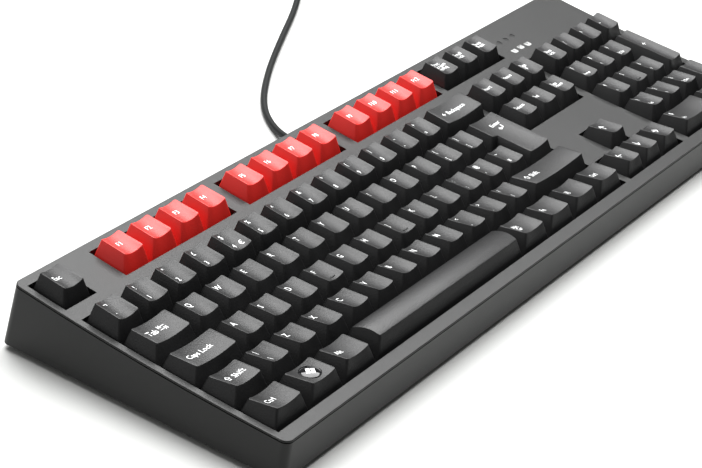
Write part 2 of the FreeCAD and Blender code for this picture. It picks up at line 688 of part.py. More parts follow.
# ---- tilt feet, folded
for side, node in ((-1, "left_tilt_foot"), (1, "right_tilt_foot")):
    x = side * foot_x
    a = foot_width / 2
    middle = foot_hinge_z - foot_barrel / 2 + foot_thickness / 2
    foot = box(x - a, x + a, foot_hinge_y - foot_length, foot_hinge_y, middle - foot_thickness / 2,
               middle + foot_thickness / 2)
    tip = [e for e in foot.Edges if e.BoundBox.YMax < foot_hinge_y - foot_length + 0.01
           and e.BoundBox.XLength > 1]
    foot = foot.makeFillet(1.2, tip)
    foot = foot.fuse(Part.makeCylinder(foot_barrel / 2, foot_width, Vector(x - a, foot_hinge_y, foot_hinge_z),
                                       Vector(1, 0, 0)))
    foot = foot.fuse(Part.makeCylinder(foot_pin / 2, foot_width + 2 * foot_pin_length,
                                       Vector(x - a - foot_pin_length, foot_hinge_y, foot_hinge_z),
                                       Vector(1, 0, 0)))
    recess = box(x - a + 4, x + a - 4, foot_hinge_y - foot_length + 5, foot_hinge_y - 6,
                 middle + foot_thickness / 2 - 1.6, middle + 10)
    nodes[node] = [foot.cut(recess).removeSplitter()]


# ---- cable: grommet, lead to the coil, coil, tie, tail and plug
def cable_tube(points, label):
    tube, length, radii = bent_tube(points, cable_diameter)
    expected = math.pi * cable_diameter ** 2 / 4 * length
    print(label, "length %.1f mm, radii %s, volume %.0f of %.0f" % (length, radii, tube.Volume, expected))
    return tube, length


lie = cable_diameter / 2 + 0.05
grommet_end = half_depth + grommet_length
coil_x, coil_y = coil_middle
coil_low = tie_thickness + tie_clearance / 2
lead_z = coil_low + cable_diameter / 2
lead_points = [(cable_exit_x, grommet_end, cable_exit_z), (10.5, 89.0, 4.4), (21.0, 107.5, lie),
               (37.5, 125.0, lie), (69.5, 144.5, lie), (106.0, 162.5, lie), (150.5, 183.0, lie),
               (coil_x - 14.5, coil_y + 22.0, lead_z)]
coil_outer = coil_radius + coil_width / 2
lead, lead_length = cable_tube(lead_points, "lead")
coil_section = Part.Face(rounded_outline(coil_radius - coil_width / 2, coil_outer, 0, coil_height, 1.7, 0))
coil_section.rotate(Vector(0, 0, 0), Vector(1, 0, 0), 90)
coil = coil_section.revolve(Vector(0, 0, 0), Vector(0, 0, 1), 360)
coil.translate(Vector(coil_x, coil_y, coil_low))
tail_points = [(coil_x + 4.0, coil_y + 26.5, coil_low + coil_height - cable_diameter / 2),
               (coil_x + 19.0, coil_y + 25.5, 5.2), (coil_x + 33.5, coil_y + 18.0, 4.2),
               (coil_x + 40.0, coil_y + 5.0, plug_grip[2] / 2)]
tail, tail_length = cable_tube(tail_points, "tail")
nodes["cable"] = [lead.cut(coil), tail.cut(coil)]
nodes["cable_coil"] = [coil]

tie_y0 = coil_y - coil_outer - tie_clearance
tie_y1 = coil_y - math.sqrt((coil_radius - coil_width / 2) ** 2 - (tie_width / 2) ** 2) + tie_clearance
tie_top = coil_low + coil_height + tie_clearance / 2
tie = box(coil_x - tie_width / 2, coil_x + tie_width / 2, tie_y0 - tie_thickness, tie_y1 + tie_thickness,
          0, tie_top + tie_thickness)
nodes["coil_tie"] = [tie.cut(box(coil_x - tie_width, coil_x + tie_width, tie_y0, tie_y1,
                                 tie_thickness, tie_top))]

grommet = Part.makeCone(grommet_root, grommet_tip, grommet_length + 0.6,
                        Vector(cable_exit_x, half_depth - 0.6, cable_exit_z), Vector(0, 1, 0))
grommet = grommet.cut(block)
grommet = grommet.fuse(Part.makeCylinder(grommet_groove, 4.2, Vector(cable_exit_x, half_depth - 4.0, cable_exit_z),
                                         Vector(0, 1, 0)))
grommet = grommet.fuse(Part.makeCylinder(grommet_root - 0.2, 2.0,
                                         Vector(cable_exit_x, half_depth - 6.0, cable_exit_z), Vector(0, 1, 0)))
nodes["cable_grommet"] = [grommet]

last = Vector(*tail_points[-1])
heading = last - Vector(*tail_points[-2])
angle = math.degrees(math.atan2(heading.y, heading.x))
length, width, height = plug_grip
grip = box(0, length, -width / 2, width / 2, -height / 2, height / 2)
grip = grip.makeFillet(2.0, [e for e in grip.Edges if e.BoundBox.XLength > 1])
metal_length, metal_width, metal_height = plug_shell
metal = box(length, length + metal_length, -metal_width / 2, metal_width / 2, -metal_height / 2, metal_height / 2)
bore = box(length + 0.3, length + metal_length + 1, -metal_width / 2 + 0.3, metal_width / 2 - 0.3,
           -metal_height / 2 + 0.3, metal_height / 2 - 0.3)
tongue_box = box(length, length + metal_length - 0.6, -metal_width / 2 + 0.35, metal_width / 2 - 0.35,
                 -metal_height / 2 + 0.35, -0.1)
plug_place = FreeCAD.Placement(Vector(last.x, last.y, height / 2), FreeCAD.Rotation(Vector(0, 0, 1), angle))
for node, shape in (("usb_plug_grip", grip), ("usb_plug_shell", metal.cut(bore).fuse(tongue_box))):
    shape.Placement = plug_place
    nodes[node] = [shape]

# ---- write one file per node
key_nodes = {k["node"] for k in keys}
for name, shapes in sorted(nodes.items()):
    placed = [to_world(s) for s in shapes] if name in key_nodes else shapes
    solids = [solid for shape in placed for solid in shape.Solids]
    result = solids[0] if len(solids) == 1 else Part.makeCompound(solids)
    valid = all(solid.isValid() for solid in solids)
    print("%-20s %4d solids  %9.0f mm3  valid %s" % (name, len(solids), result.Volume, valid))
    result.exportStep("parts/%s.step" % name)
print("nodes", len(nodes), "keys", len(keys), "cable", round(lead_length + tail_length, 1))
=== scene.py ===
"""A full-size mechanical keyboard with an ISO layout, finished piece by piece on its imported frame.

Metres, origin in the middle of the footprint on the desk: +X to the typist's right, +Y to the rear, +Z up.
The sections follow the keyboard as it is put together, from the cable and the lower shell up to the key caps.
"""
import bmesh
import bpy
import math
from mathutils import Matrix, Vector


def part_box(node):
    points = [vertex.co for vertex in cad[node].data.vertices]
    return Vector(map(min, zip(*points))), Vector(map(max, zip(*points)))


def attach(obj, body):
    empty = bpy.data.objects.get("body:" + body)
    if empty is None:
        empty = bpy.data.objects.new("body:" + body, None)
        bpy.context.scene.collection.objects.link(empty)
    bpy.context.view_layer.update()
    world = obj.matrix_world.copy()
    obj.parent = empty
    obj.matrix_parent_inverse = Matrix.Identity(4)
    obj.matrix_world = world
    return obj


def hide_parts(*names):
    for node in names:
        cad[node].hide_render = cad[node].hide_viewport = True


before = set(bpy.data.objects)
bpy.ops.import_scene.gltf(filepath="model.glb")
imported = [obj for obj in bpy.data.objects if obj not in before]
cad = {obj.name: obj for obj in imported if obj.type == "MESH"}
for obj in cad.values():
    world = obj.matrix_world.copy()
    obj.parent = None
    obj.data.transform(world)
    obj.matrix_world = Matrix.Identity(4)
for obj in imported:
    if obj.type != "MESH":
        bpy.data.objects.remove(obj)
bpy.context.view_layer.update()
mm = 0.001

# ---- Camera
# A long lens, low over the left front corner, so that the rows run away to the upper right.
camera_data = bpy.data.cameras.new("camera")
camera_data.sensor_width = 36
camera_data.lens = 113.8
camera = bpy.data.objects.new("camera", camera_data)
camera.location = (-0.8074, -0.4194, 0.4886)
camera.rotation_euler = (math.radians(60.89), math.radians(-7.04), math.radians(-56.34))
bpy.context.scene.collection.objects.link(camera)
bpy.context.scene.camera = camera

# ---- Cable
# A thin round lead in soft PVC.  It leaves the middle of the rear wall, bends down to the desk and runs off
# to the right; the spare length is wound into a flat coil of two layers and ends in the plug.
cable_radius = 1.75 * mm
cable_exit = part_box("cable_grommet")[1].y
lead = [(9.5 * mm, cable_exit, 7.0 * mm), (0.0105, 0.0890, 0.0044), (0.0210, 0.1075, 0.0018),
        (0.0375, 0.1250, 0.0018), (0.0695, 0.1445, 0.0018), (0.1060, 0.1625, 0.0018),
        (0.1505, 0.1830, 0.0018), (0.1810, 0.2010, 0.0022)]
coil_low, coil_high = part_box("cable_coil")
coil_middle = (coil_low + coil_high) / 2
layer_turns, climb_turns, points_a_turn = 4.99, 0.12, 16
outer_turn, inner_turn = 28.0, 10.5    # radii at the middle of the cable, in millimetres
turn_gap = 3.5                         # from one turn to the next, and from one layer to the next
start_angle = math.radians(116)
turns = 2 * layer_turns + climb_turns
winding = []
for step in range(int(turns * points_a_turn) + 1):
    turn = step / points_a_turn
    if turn < layer_turns:
        radius, lift = outer_turn - turn_gap * turn, 0.0
    elif turn < layer_turns + climb_turns:
        radius, lift = inner_turn, turn_gap * (turn - layer_turns) / climb_turns
    else:
        radius, lift = inner_turn + turn_gap * (turn - layer_turns - climb_turns), turn_gap
    angle = start_angle - math.tau * turn
    reach = radius * mm / math.cos(math.pi / points_a_turn)
    winding.append((coil_middle.x + reach * math.cos(angle), coil_middle.y + reach * math.sin(angle),
                    coil_low.z + cable_radius + lift * mm))
tail = [(coil_middle.x + dx * mm, coil_middle.y + dy * mm, z * mm)
        for dx, dy, z in ((19.0, 25.5, 5.4), (33.5, 18.0, 4.2), (40.0, 5.0, 4.0))]
route = lead + winding + tail
cable_curve = bpy.data.curves.new("cable_run", "CURVE")
cable_curve.dimensions = "3D"
cable_curve.bevel_depth = 1.0          # the points' own radius sets the thickness
cable_curve.bevel_resolution = 3
cable_curve.resolution_u = 6
cable_curve.use_fill_caps = True
strand = cable_curve.splines.new("NURBS")
strand.points.add(len(route) - 1)
for point, place in zip(strand.points, route):
    point.co = (*place, 1)
    point.radius = cable_radius
strand.order_u = 3
strand.use_endpoint_u = True
cable = bpy.data.objects.new("cable_run", cable_curve)
bpy.context.scene.collection.objects.link(cable)
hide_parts("cable", "cable_coil")
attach(cable, "case")


# ---- Moulded plastic
# Every shell, cap and housing is injection moulded in a spark-eroded tool, which leaves a fine even grain.
# The grain group breaks up the colour and the sheen a little and gives the normal of the grained surface.
def node(tree, kind, **settings):
    made = tree.nodes.new(kind)
    for name, value in settings.items():
        setattr(made, name, value)
    return made


def build_grain():
    tree = bpy.data.node_groups.new("moulded_grain", "ShaderNodeTree")
    face = tree.interface
    for name, kind, value in (("Colour", "NodeSocketColor", (0.03, 0.03, 0.03, 1)),
                              ("Roughness", "NodeSocketFloat", 0.45), ("Grain size", "NodeSocketFloat", 0.3),
                              ("Depth", "NodeSocketFloat", 0.3), ("Mottle", "NodeSocketFloat", 0.2)):
        face.new_socket(name, in_out="INPUT", socket_type=kind).default_value = value
    for name, kind in (("Colour", "NodeSocketColor"), ("Roughness", "NodeSocketFloat"),
                       ("Normal", "NodeSocketVector")):
        face.new_socket(name, in_out="OUTPUT", socket_type=kind)
    given, result = node(tree, "NodeGroupInput"), node(tree, "NodeGroupOutput")
    place = node(tree, "ShaderNodeTexCoord")
    scale = node(tree, "ShaderNodeMath", operation="DIVIDE")
    scale.inputs[0].default_value = 1000    # grain size is given in millimetres
    tree.links.new(given.outputs["Grain size"], scale.inputs[1])
    fine = node(tree, "ShaderNodeTexNoise")
    fine.inputs["Detail"].default_value = 2
    wide = node(tree, "ShaderNodeTexNoise")
    wide.inputs["Scale"].default_value = 60
    wide.inputs["Detail"].default_value = 3
    tree.links.new(place.outputs["Object"], fine.inputs["Vector"])
    tree.links.new(place.outputs["Object"], wide.inputs["Vector"])
    tree.links.new(scale.outputs[0], fine.inputs["Scale"])
    both = node(tree, "ShaderNodeMath", operation="ADD")
    tree.links.new(fine.outputs["Fac"], both.inputs[0])
    tree.links.new(wide.outputs["Fac"], both.inputs[1])
    swing = node(tree, "ShaderNodeMath", operation="SUBTRACT")
    swing.inputs[1].default_value = 1.0
    tree.links.new(both.outputs[0], swing.inputs[0])
    amount = node(tree, "ShaderNodeMath", operation="MULTIPLY")
    tree.links.new(swing.outputs[0], amount.inputs[0])
    tree.links.new(given.outputs["Mottle"], amount.inputs[1])
    factor = node(tree, "ShaderNodeMath", operation="ADD")
    factor.inputs[1].default_value = 1.0
    tree.links.new(amount.outputs[0], factor.inputs[0])
    tint = node(tree, "ShaderNodeVectorMath", operation="SCALE")
    tree.links.new(given.outputs["Colour"], tint.inputs[0])
    tree.links.new(factor.outputs[0], tint.inputs["Scale"])
    tree.links.new(tint.outputs[0], result.inputs["Colour"])
    sheen = node(tree, "ShaderNodeMath", operation="MULTIPLY", use_clamp=True)
    tree.links.new(given.outputs["Roughness"], sheen.inputs[0])
    tree.links.new(factor.outputs[0], sheen.inputs[1])
    tree.links.new(sheen.outputs[0], result.inputs["Roughness"])
    bump = node(tree, "ShaderNodeBump")
    bump.inputs["Distance"].default_value = 0.12 * mm
    tree.links.new(given.outputs["Depth"], bump.inputs["Strength"])
    tree.links.new(fine.outputs["Fac"], bump.inputs["Height"])
    tree.links.new(bump.outputs[0], result.inputs["Normal"])
    return tree


moulded_grain = build_grain()


def moulded(name, colour, roughness, grain_size=0.3, depth=0.3, mottle=0.15, specular=0.5):
    """A material of moulded plastic with its own colour and grain."""
    material = bpy.data.materials.new(name)
    material.use_nodes = True
    tree = material.node_tree
    shader = tree.nodes["Principled BSDF"]
    shader.inputs["Specular IOR Level"].default_value = specular
    grain = node(tree, "ShaderNodeGroup", node_tree=moulded_grain)
    grain.inputs["Colour"].default_value = (*colour, 1)
    grain.inputs["Roughness"].default_value = roughness
    grain.inputs["Grain size"].default_value = grain_size
    grain.inputs["Depth"].default_value = depth
    grain.inputs["Mottle"].default_value = mottle
    tree.links.new(grain.outputs["Colour"], shader.inputs["Base Color"])
    tree.links.new(grain.outputs["Roughness"], shader.inputs["Roughness"])
    tree.links.new(grain.outputs["Normal"], shader.inputs["Normal"])
    return material


def dress(piece, material):
    """Gives a piece one material all over."""
    piece.data.materials.clear()
    piece.data.materials.append(material)


jacket = moulded("cable_pvc", (0.009, 0.010, 0.010), 0.5, grain_size=0.5, depth=0.2, specular=0.14)
dress(cable, jacket)
dress(cad["cable_grommet"], jacket)
dress(cad["coil_tie"], moulded("tie_plastic", (0.02, 0.02, 0.02), 0.3))
dress(cad["usb_plug_grip"], moulded("plug_grip_plastic", (0.03, 0.03, 0.03), 0.5, depth=0.4))

# ---- Lower shell, feet and screws
# Satin black ABS, with rubber pads let into the floor pan and two feet that fold out on moulded pins.
case_black = moulded("case_plastic", (0.0065, 0.0068, 0.0066), 0.40, grain_size=0.35, depth=0.3, mottle=0.12,
                     specular=0.32)
dress(cad["bottom_case"], case_black)
dress(cad["left_tilt_foot"], case_black)
dress(cad["right_tilt_foot"], case_black)
dress(cad["rubber_feet"], moulded("foot_rubber", (0.02, 0.02, 0.02), 0.75, grain_size=0.5, depth=0.4))


def metal(name, colour, roughness, brushed=0.15):
    """Bare or plated steel with fine drawing marks."""
    material = bpy.data.materials.new(name)
    material.use_nodes = True
    tree = material.node_tree
    shader = tree.nodes["Principled BSDF"]
    shader.inputs["Base Color"].default_value = (*colour, 1)
    shader.inputs["Metallic"].default_value = 1
    place = node(tree, "ShaderNodeTexCoord")
    stretch = node(tree, "ShaderNodeMapping")
    stretch.inputs["Scale"].default_value = (300, 4000, 4000)
    marks = node(tree, "ShaderNodeTexNoise")
    marks.inputs["Scale"].default_value = 1
    tree.links.new(place.outputs["Object"], stretch.inputs["Vector"])
    tree.links.new(stretch.outputs["Vector"], marks.inputs["Vector"])
    spread = node(tree, "ShaderNodeMapRange")
    spread.inputs["To Min"].default_value = roughness - brushed / 2
    spread.inputs["To Max"].default_value = roughness + brushed / 2
    tree.links.new(marks.outputs["Fac"], spread.inputs["Value"])
    tree.links.new(spread.outputs["Result"], shader.inputs["Roughness"])
    return material


dress(cad["case_screws"], metal("screw_steel", (0.12, 0.12, 0.13), 0.4))
dress(cad["usb_plug_shell"], metal("plug_nickel", (0.75, 0.74, 0.72), 0.22))

# ---- Switch plate, board, switches and stabilisers
# A powder-coated steel plate holds the switches over a solder-masked board; sprung sliders carry the caps.
dress(cad["switch_plate"], moulded("plate_coat", (0.02, 0.02, 0.02), 0.55, grain_size=0.8, depth=0.5))
dress(cad["circuit_board"], moulded("solder_mask", (0.012, 0.06, 0.025), 0.3, grain_size=2.5, depth=0.3))
dress(cad["board_components"], moulded("component_epoxy", (0.02, 0.02, 0.02), 0.5))
dress(cad["switch_housings"], moulded("switch_nylon", (0.02, 0.02, 0.02), 0.4))
dress(cad["stabiliser_housings"], moulded("stabiliser_nylon", (0.022, 0.022, 0.022), 0.45))
wire_steel = metal("spring_steel", (0.6, 0.6, 0.58), 0.3)
dress(cad["switch_springs"], wire_steel)
dress(cad["stabiliser_wires"], wire_steel)

# ---- Upper shell and indicator windows
# The hollow curved deck, in the same satin black as the lower shell, with three smoky light windows.
dress(cad["top_case"], case_black)
dress(cad["indicator_lenses"], moulded("lens_smoke", (0.007, 0.007, 0.007), 0.36, depth=0.1, specular=0.3))

# ---- Key caps
# Thin-walled caps, each row with its own height and slope, dished along the key so that a finger finds the
# middle.  A cap is a leaning block, rounded at its corners, hollowed from below and dished on top.
pitch = 19.05           # from one key to the next
deck_tilt = math.radians(3.88)
# from the keys' own plane, with the number row's rear left corner as its origin, to the desk
deck = Matrix.Translation((-216.09 * mm, 33.13 * mm, 27.22 * mm)) @ Matrix.Rotation(deck_tilt, 4, "X")
skirt_gap = 0.475       # from the edge of a key's cell to the skirt
skirt_low = -4.0        # lower edge of the skirt
side_lean = 3.69        # from the edge of the cell to the top face, left and right
wall, roof = 1.3, 1.2
dish, crown = 1.25, 1.6
corner_round, rim_round = 0.95, 0.24
cuts = 8                # strips that a top face is bent in
# top face of each row: front edge distance and height, rear edge distance and height
profiles = {"number": (15.0, 6.2, 1.7, 7.0), "upper": (14.65, 4.6, 1.4, 4.4),
            "home": (15.15, 4.25, 1.7, 3.25), "lower": (14.9, 5.4, 1.85, 3.05)}
profiles["function"], profiles["bottom"] = profiles["number"], profiles["lower"]
row_y = {"function": 28.15, "number": 0.0, "upper": -pitch, "home": -2 * pitch, "lower": -3 * pitch,
         "bottom": -4 * pitch}


def pick(kind, test):
    """In edit mode, selects just the vertices, edges or faces that pass a test."""
    bpy.ops.mesh.select_mode(type={"verts": "VERT", "edges": "EDGE", "faces": "FACE"}[kind])
    bpy.ops.mesh.select_all(action="DESELECT")
    shape = bmesh.from_edit_mesh(bpy.context.edit_object.data)
    shape.normal_update()
    for part in getattr(shape, kind):
        if test(part):
            part.select_set(True)
    bmesh.update_edit_mesh(bpy.context.edit_object.data)


def settle(piece):
    """Leaves edit mode and puts the piece's place into its mesh."""
    if piece.mode == "EDIT":
        bpy.ops.object.mode_set(mode="OBJECT")
    bpy.ops.object.select_all(action="DESELECT")
    piece.select_set(True)
    bpy.context.view_layer.objects.active = piece
    bpy.ops.object.transform_apply(location=True, rotation=True, scale=True)


def top_of(row, tall):
    """The cap's top face in its own cell: front and rear edge, each as (y, z)."""
    rear = profiles[row]
    front = profiles[{"upper": "home", "lower": "bottom"}[row]] if tall else rear
    shift = -pitch if tall else 0.0
    return (shift - front[0], front[1]), (-rear[2], rear[3])


def cap_blank(name, row, width, form):
    """One cap of a kind, in millimetres of the deck frame, with its cell's rear left corner at the origin."""
    tall = form in ("tall", "enter")
    depth, wide = (2 * pitch if tall else pitch), width * pitch
    (front_y, front_z), (rear_y, rear_z) = top_of(row, tall)
    slope = (rear_z - front_z) / (rear_y - front_y)
    side_rate = (side_lean - skirt_gap) / ((front_z + rear_z) / 2 - skirt_low)
    bpy.ops.object.select_all(action="DESELECT")
    column = wide - (pitch / 4 if form == "enter" else 0.0)
    bpy.ops.mesh.primitive_cube_add(size=1, location=(wide - column / 2, -depth / 2, skirt_low + 4),
                                    scale=(column - 2 * skirt_gap, depth - 2 * skirt_gap, 8))
    cap = bpy.context.object
    cap.name = name
    bpy.ops.object.transform_apply(location=True, rotation=True, scale=True)
    bpy.ops.object.mode_set(mode="EDIT")
    step_y = -pitch + skirt_gap
    if form == "enter":
        bpy.ops.mesh.select_all(action="SELECT")
        bpy.ops.mesh.bisect(plane_co=(0, step_y, 0), plane_no=(0, 1, 0))
        pick("faces", lambda f: f.normal.x < -0.9 and f.calc_center_median().y > step_y)
        bpy.ops.mesh.extrude_region_move(TRANSFORM_OT_translate={"value": (-pitch / 4, 0, 0)})
    pick("verts", lambda v: v.co.z > skirt_low + 4)
    shape = bmesh.from_edit_mesh(cap.data)
    corners = [v.co.copy() for v in shape.verts if v.select]
    step_x = pitch / 4 + skirt_gap
    for corner in corners:
        if corner.y > -1:
            y = rear_y
        elif corner.y < -depth + 1:
            y = front_y
        else:
            y = step_y + side_rate * (front_z + (rear_z - front_z) / 2 - skirt_low)
        z = front_z + slope * (y - front_y)
        lean = side_rate * (z - skirt_low)
        if corner.x > wide - 1:
            x = wide - skirt_gap - lean
        elif form == "enter" and abs(corner.x - step_x) < 0.1:
            x = step_x + lean
        else:
            x = skirt_gap + lean
        pick("verts", lambda v: (v.co - corner).length < 1e-4)
        bpy.ops.transform.translate(value=(x - corner.x, y - corner.y, z - corner.z))
    pick("edges", lambda e: abs((e.verts[0].co - e.verts[1].co).normalized().z) > 0.8
         and e.is_convex and e.calc_face_angle(0) > 0.5)
    bpy.ops.mesh.bevel(offset=corner_round, segments=4, affect="EDGES")
    # the hollow underneath
    ceiling = min(front_z, rear_z) - dish - roof
    pick("faces", lambda f: f.normal.z < -0.9)
    bpy.ops.mesh.inset(thickness=wall)
    bpy.ops.mesh.extrude_region_move(TRANSFORM_OT_translate={"value": (0, 0, ceiling - skirt_low)})
    rise = ceiling - skirt_low
    shifts = {"front": rise * (depth - skirt_gap + front_y) / (front_z - skirt_low), "step": rise * side_rate,
              "rear": -rise * (-rear_y - skirt_gap) / (rear_z - skirt_low)}
    for edge, shift in shifts.items():
        low, high = {"front": (-depth, -0.75 * depth), "step": (-0.75 * depth, -0.25 * depth),
                     "rear": (-0.25 * depth, 0)}[edge]
        pick("verts", lambda v: abs(v.co.z - ceiling) < 1e-3 and low < v.co.y < high)
        bpy.ops.transform.translate(value=(0, shift, 0))
    for left in (True, False):
        pick("verts", lambda v: abs(v.co.z - ceiling) < 1e-3 and (v.co.x < wide / 2) == left)
        bpy.ops.transform.translate(value=(rise * side_rate * (1 if left else -1), 0, 0))
    # cuts across the cap that the dish or the crown then bends
    middle_x, half = wide / 2, wide / 2 - side_lean
    middle_y, half_y = (front_y + rear_y) / 2, (rear_y - front_y) / 2
    bpy.ops.mesh.select_mode(type="VERT")
    for i in range(1, cuts):
        bpy.ops.mesh.select_all(action="SELECT")
        if form == "space":
            at = middle_y - half_y + 2 * half_y * i / cuts
            bpy.ops.mesh.bisect(plane_co=(0, at, 0), plane_no=(0, 1, 0))
        else:
            reach = half - 0.9    # the outer cuts stay clear of the rounded corners
            at = middle_x - reach + 2 * reach * i / cuts
            bpy.ops.mesh.bisect(plane_co=(at, 0, 0), plane_no=(1, 0, 0))

    def on_top(v):
        return abs(v.co.z - (front_z + slope * (v.co.y - front_y))) < 0.02 and v.co.z > ceiling + 0.5

    shape = bmesh.from_edit_mesh(cap.data)
    lines = sorted({round(v.co.y if form == "space" else v.co.x, 3) for v in shape.verts if on_top(v)})
    moves = []
    for line in lines:
        if form == "space":
            moves.append((line, crown * (1 - ((line - middle_y) / half_y) ** 2)))
        else:
            moves.append((line, -dish * max(0.0, 1 - ((line - middle_x) / half) ** 2)))
    for line, lift in moves:
        pick("verts", lambda v: on_top(v) and abs((v.co.y if form == "space" else v.co.x) - line) < 6e-4)
        bpy.ops.transform.translate(value=(0, 0, lift))
    # a small radius round the top
    pick("edges", lambda e: e.calc_face_angle(0) > 0.6 and min(v.co.z for v in e.verts) > ceiling + 0.4)
    bpy.ops.mesh.bevel(offset=rim_round, segments=2, affect="EDGES")
    bpy.ops.object.mode_set(mode="OBJECT")
    cap.data.transform(Matrix.Scale(mm, 4))
    bpy.ops.object.shade_smooth_by_angle(angle=math.radians(32))
    return cap


key_black = moulded("key_plastic", (0.0025, 0.0026, 0.0029), 0.46, grain_size=0.65, depth=1.0, mottle=0.35,
                    specular=0.40)
key_red = moulded("red_key_plastic", (0.60, 0.012, 0.007), 0.46, grain_size=0.55, depth=0.5, mottle=0.08)
legend_white = moulded("legend_ink", (0.9, 0.91, 0.91), 0.5, depth=0.1, mottle=0.05)
blanks = {}
nav_column, pad_column, pad_offset = 15.25, 18.5, 1.4    # two in key pitches, then millimetres
capital_share = 0.69    # height of a capital in the built-in face, as a share of its size
print_height = 12       # the print starts above every cap and is pressed down on to it


def lay_legends(name, cap, column_x, row, tall, width, marks):
    """White print on a cap.  A mark is (text, how far across, how far down, height in mm)."""
    (front_y, front_z), (rear_y, rear_z) = top_of(row, tall)
    slope = (rear_z - front_z) / (rear_y - front_y)
    prints = []
    for text, across, down, height in marks:
        bpy.ops.object.select_all(action="DESELECT")
        bpy.ops.object.text_add()
        words = bpy.context.object
        words.data.body = text
        words.data.size = height / capital_share
        words.data.resolution_u = 2
        words.data.align_x = "LEFT"
        words.data.align_y = "CENTER"
        words.data.space_line = 0.72
        words.data.offset = 0.004 * height
        bpy.ops.object.convert(target="MESH")
        words = bpy.context.object
        x = column_x + side_lean + across * (width * pitch - 2 * side_lean)
        y = rear_y + down * (front_y - rear_y)
        words.location = (x, y, print_height)
        settle(words)
        words.data.transform(Matrix.Translation((0, row_y[row], 0)))
        words.data.transform(Matrix.Scale(mm, 4))
        prints.append(words)
    bpy.ops.object.select_all(action="DESELECT")
    for words in prints:
        words.select_set(True)
    bpy.context.view_layer.objects.active = prints[0]
    if len(prints) > 1:
        bpy.ops.object.join()
    legend = prints[0]
    legend.name = name
    press = legend.modifiers.new("press", "SHRINKWRAP")
    press.target = cap
    press.wrap_method = "PROJECT"
    press.use_project_x = press.use_project_y = False
    press.use_project_z = True
    press.use_negative_direction = True
    press.use_positive_direction = False
    press.offset = 0.02 * mm
    bpy.ops.object.modifier_apply(modifier="press")
    dress(legend, legend_white)
    return legend


def make_key(name, body, column, row, width=1.0, form="plain", marks=(), offset=0.0, red=False):
    """A finished cap with its legend, in place on its body."""
    kind = (profiles[row], row if form in ("tall", "enter") else "", width, form)
    if kind not in blanks:
        blanks[kind] = cap_blank("blank", row, width, form)
    cap = blanks[kind].copy()
    cap.data = blanks[kind].data.copy()
    cap.name = cap.data.name = name
    bpy.context.scene.collection.objects.link(cap)
    x = column * pitch + offset
    cap.data.transform(Matrix.Translation((x * mm, row_y[row] * mm, 0)))
    dress(cap, key_red if red else key_black)
    pieces = [cap]
    if marks:
        bpy.context.view_layer.update()
        pieces.append(lay_legends(name + "_legend", cap, x, row, form in ("tall", "enter"), width, marks))
    for piece in pieces:
        piece.data.transform(deck)
        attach(piece, body)
    return pieces


def word(text, height=2.5, across=0.1, down=0.52):
    return [(text, across, down, height)]


def pair(shifted, plain):
    return [(shifted, 0.2, 0.22, 2.5), (plain, 0.2, 0.78, 2.5)]


made, sliders = {}, {}
# from the middle of a key to the guide post at each end
post_reach = {"space": 50.0, "wide": 11.94, "tall": 11.94, "enter": 11.94}


def add(node_name, name, column, row, width=1.0, form="plain", marks=(), offset=0.0, red=False):
    """Makes one key of a node, and notes where its slider goes."""
    tall = form in ("tall", "enter")
    (_, front_z), (_, rear_z) = top_of(row, tall)
    middle_x = column * pitch + offset + (width * pitch / 2 + (pitch / 8 if form == "enter" else 0))
    middle_y = row_y[row] - (pitch if tall else pitch / 2)
    # the slider's head goes a little way into the cap's roof
    head = min(front_z, rear_z) - dish - roof + 0.3
    sliders.setdefault(node_name, []).append((middle_x, middle_y, head, post_reach.get(form, 0.0), tall))
    pieces = make_key(name + "_cap", node_name + "_body", column, row, width, form, marks, offset, red)
    made.setdefault(node_name, []).extend(pieces)


add("key_escape", "escape", 0, "function", marks=word("Esc", 2.4, 0.12, 0.46))
for i in range(12):
    column = (2.0, 6.5, 11.0)[i // 4] + i % 4
    add("function_keys", "f%d" % (i + 1), column, "function", marks=word("F%d" % (i + 1), 2.4, 0.3, 0.46),
        red=True)
for i, (shifted, plain) in enumerate(zip("¬!\"£$%^&*()_+", "`1234567890-=")):
    marks = pair(shifted, plain)
    if plain == "4":
        marks.append(("€", 0.6, 0.78, 2.5))
    add("number_row_keys", "number_row_%d" % (i + 1), i, "number", marks=marks)
add("key_backspace", "backspace", 13, "number", 2.0, "wide", word("← Backspace", 2.5, 0.14))
add("key_tab", "tab", 0, "upper", 1.5, marks=word("Tab ↹", 2.9))
for i, letter in enumerate("qwertyuiop"):
    add("key_" + letter, letter, 1.5 + i, "upper", marks=[(letter.upper(), 0.12, 0.33, 2.9)])
for i, (shifted, plain) in enumerate(("{[", "}]")):
    name = ("open_bracket", "close_bracket")[i]
    add("punctuation_keys", name, 11.5 + i, "upper", marks=pair(shifted, plain))
add("key_enter", "enter", 13.5, "upper", 1.5, "enter", [("Enter", 0.46, 0.22, 2.3), ("↵", 0.52, 0.34, 3.4)])
add("key_caps_lock", "caps_lock", 0, "home", 1.75, marks=word("Caps Lock"))
for i, letter in enumerate("asdfghjkl"):
    add("key_" + letter, letter, 1.75 + i, "home", marks=[(letter.upper(), 0.12, 0.33, 2.9)])
for i, (shifted, plain) in enumerate((":;", "@'", "~#")):
    name = ("semicolon", "apostrophe", "hash")[i]
    add("punctuation_keys", name, 10.75 + i, "home", marks=pair(shifted, plain))
add("key_left_shift", "left_shift", 0, "lower", 1.25, marks=word("⇧ Shift", 2.7))
add("punctuation_keys", "backslash", 1.25, "lower", marks=pair("|", "\\"))
for i, letter in enumerate("zxcvbnm"):
    add("key_" + letter, letter, 2.25 + i, "lower", marks=[(letter.upper(), 0.12, 0.33, 2.9)])
for i, (shifted, plain) in enumerate(("<,", ">.", "?/")):
    name = ("comma", "full_stop", "slash")[i]
    add("punctuation_keys", name, 9.25 + i, "lower", marks=pair(shifted, plain))
